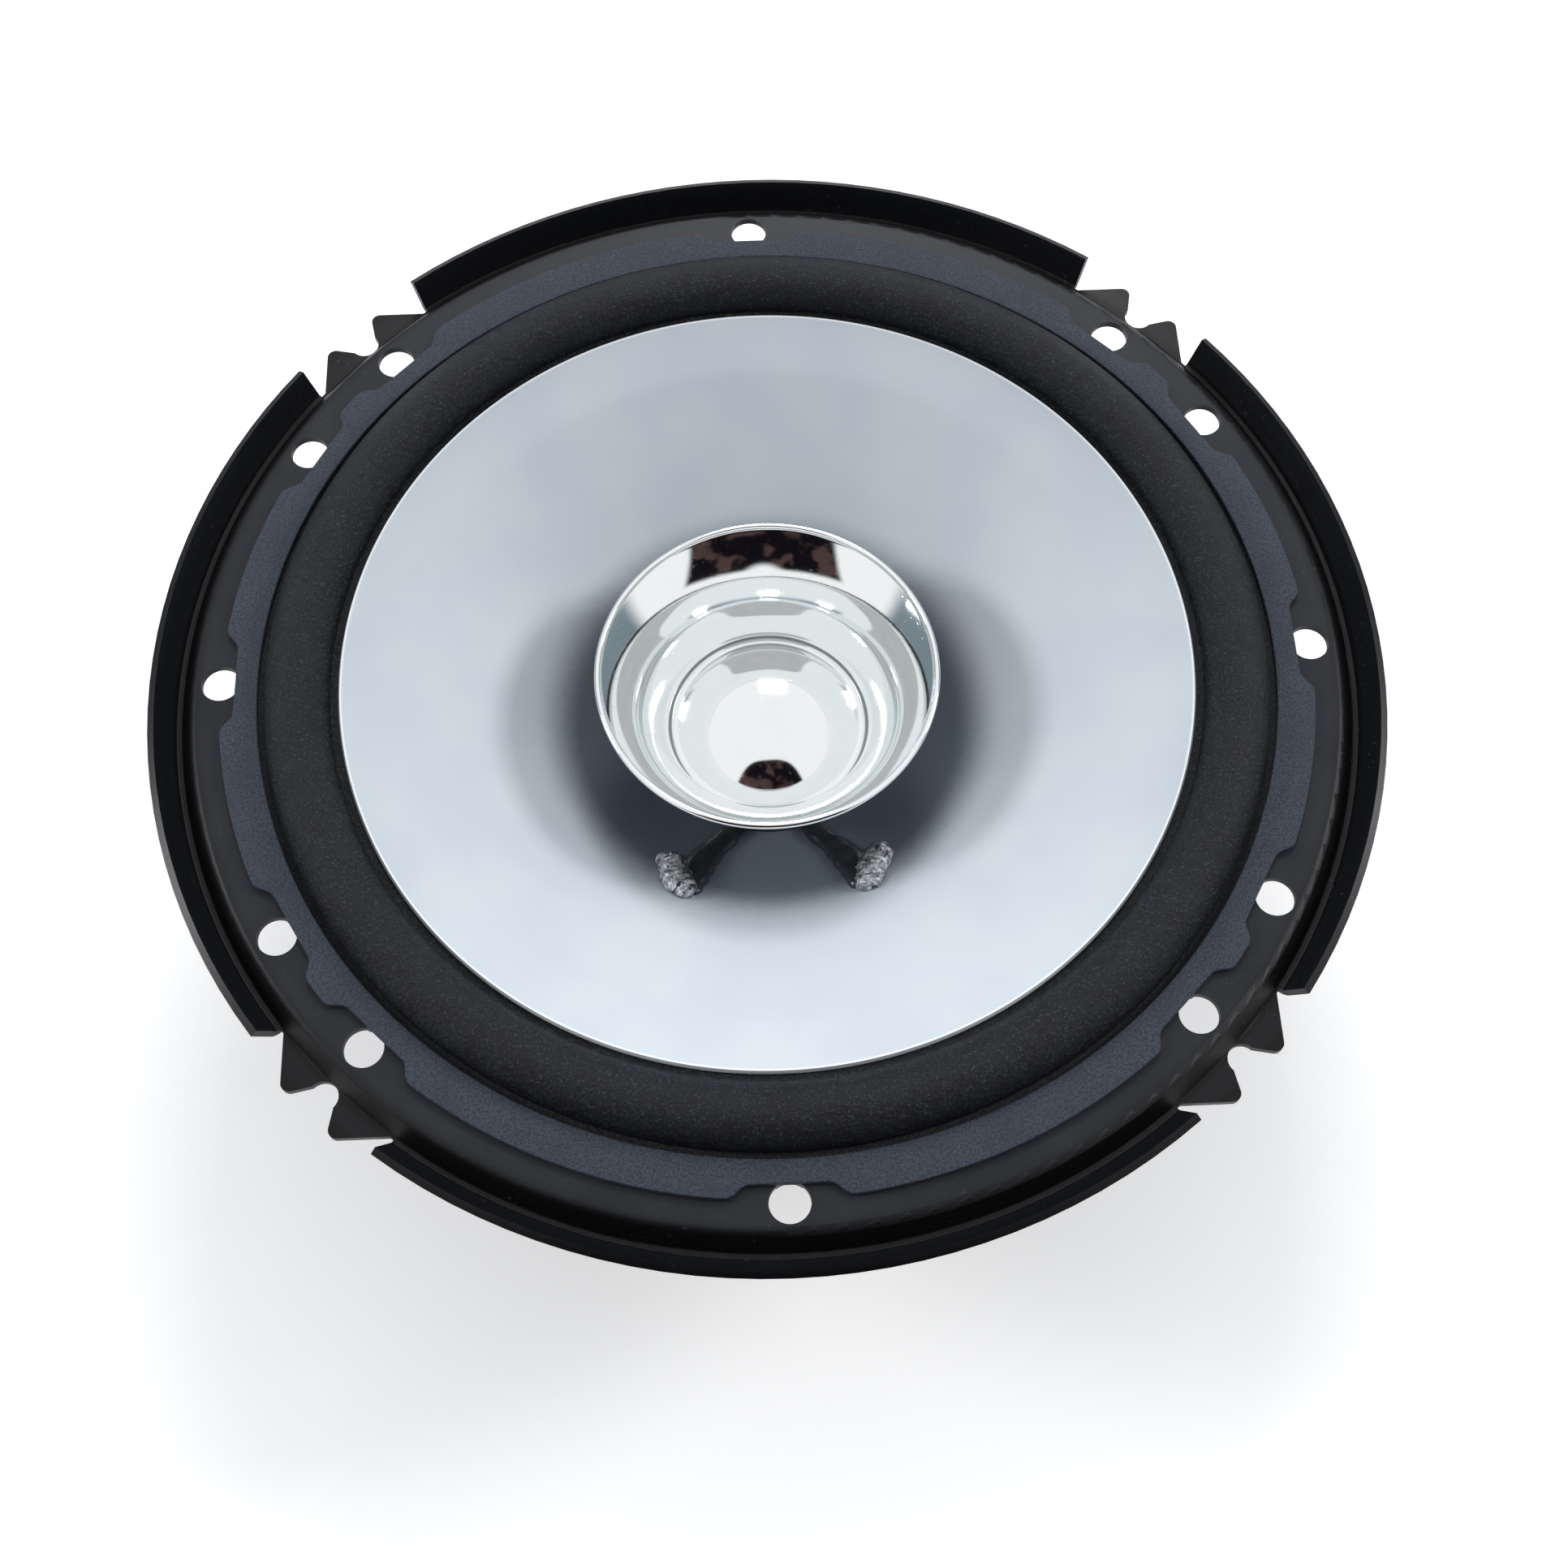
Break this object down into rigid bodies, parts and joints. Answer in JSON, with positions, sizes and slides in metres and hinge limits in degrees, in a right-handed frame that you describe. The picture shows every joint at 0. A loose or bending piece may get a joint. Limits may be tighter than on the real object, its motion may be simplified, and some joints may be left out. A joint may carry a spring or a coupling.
{
  "type": "dual-cone car loudspeaker",
  "caption": "Round car loudspeaker with a pressed steel basket, foam surround, silver cone, mirror-bright whizzer cone and dust cap, ferrite magnet and push-on terminals.",
  "frame": {"origin": "centre of the screw circle, on the top face of the flange plate", "axes": "+Z is the way the speaker fires; -Y is the side with the terminals; X runs across them"},
  "size_m": [0.1598, 0.1598, 0.05],
  "materials": {
    "basket_black": "satin black paint",
    "gasket_foam": "matt dark grey, finely grained",
    "surround_foam": "matt black foam, finely speckled",
    "spider_cloth": "resin-dipped cotton weave",
    "plated_steel": "zinc plated",
    "ferrite": "ground grey ferrite",
    "fibre_board": "pressed brown fibre",
    "rivet_brass": "plain",
    "tinned_brass": "tin plated",
    "tinsel": "braided",
    "cone_silver": "smooth pale silver",
    "metallised": "mirror bright",
    "black_glue": "glossy, set in thick tracks",
    "solder": "dull, grainy",
    "former_foil": "rolled foil",
    "coil_copper": "enamelled copper wire",
    "collar_paper": "kraft tape"
  },
  "bodies": {
    "frame": {"basket": "basket_black", "gasket": "gasket_foam", "surround": "surround_foam", "spider": "spider_cloth", "top_plate": "plated_steel", "back_plate": "plated_steel", "pole_piece": "plated_steel", "plate_stakes": "plated_steel", "magnet": "ferrite", "terminal_board": "fibre_board", "board_rivets": "rivet_brass", "terminal_positive": "tinned_brass", "terminal_negative": "tinned_brass", "lead_positive": "tinsel", "lead_negative": "tinsel"},
    "cone_assembly": {"cone": "cone_silver", "whizzer_cone": "metallised", "dust_cap": "metallised", "neck_glue": "black_glue", "lead_glue": "black_glue", "eyelets": "rivet_brass", "solder_joints": "solder", "voice_coil_former": "former_foil", "voice_coil": "coil_copper", "coil_collar": "collar_paper"}
  },
  "joints": [
    {"name": "cone_excursion", "type": "slide", "parent": "frame", "child": "cone_assembly", "axis": [0, 0, 1], "range_m": [-0.003, 0.003], "stiffness_N_per_m": 1500, "deforming": ["surround", "spider", "lead_positive", "lead_negative"]}
  ]
}
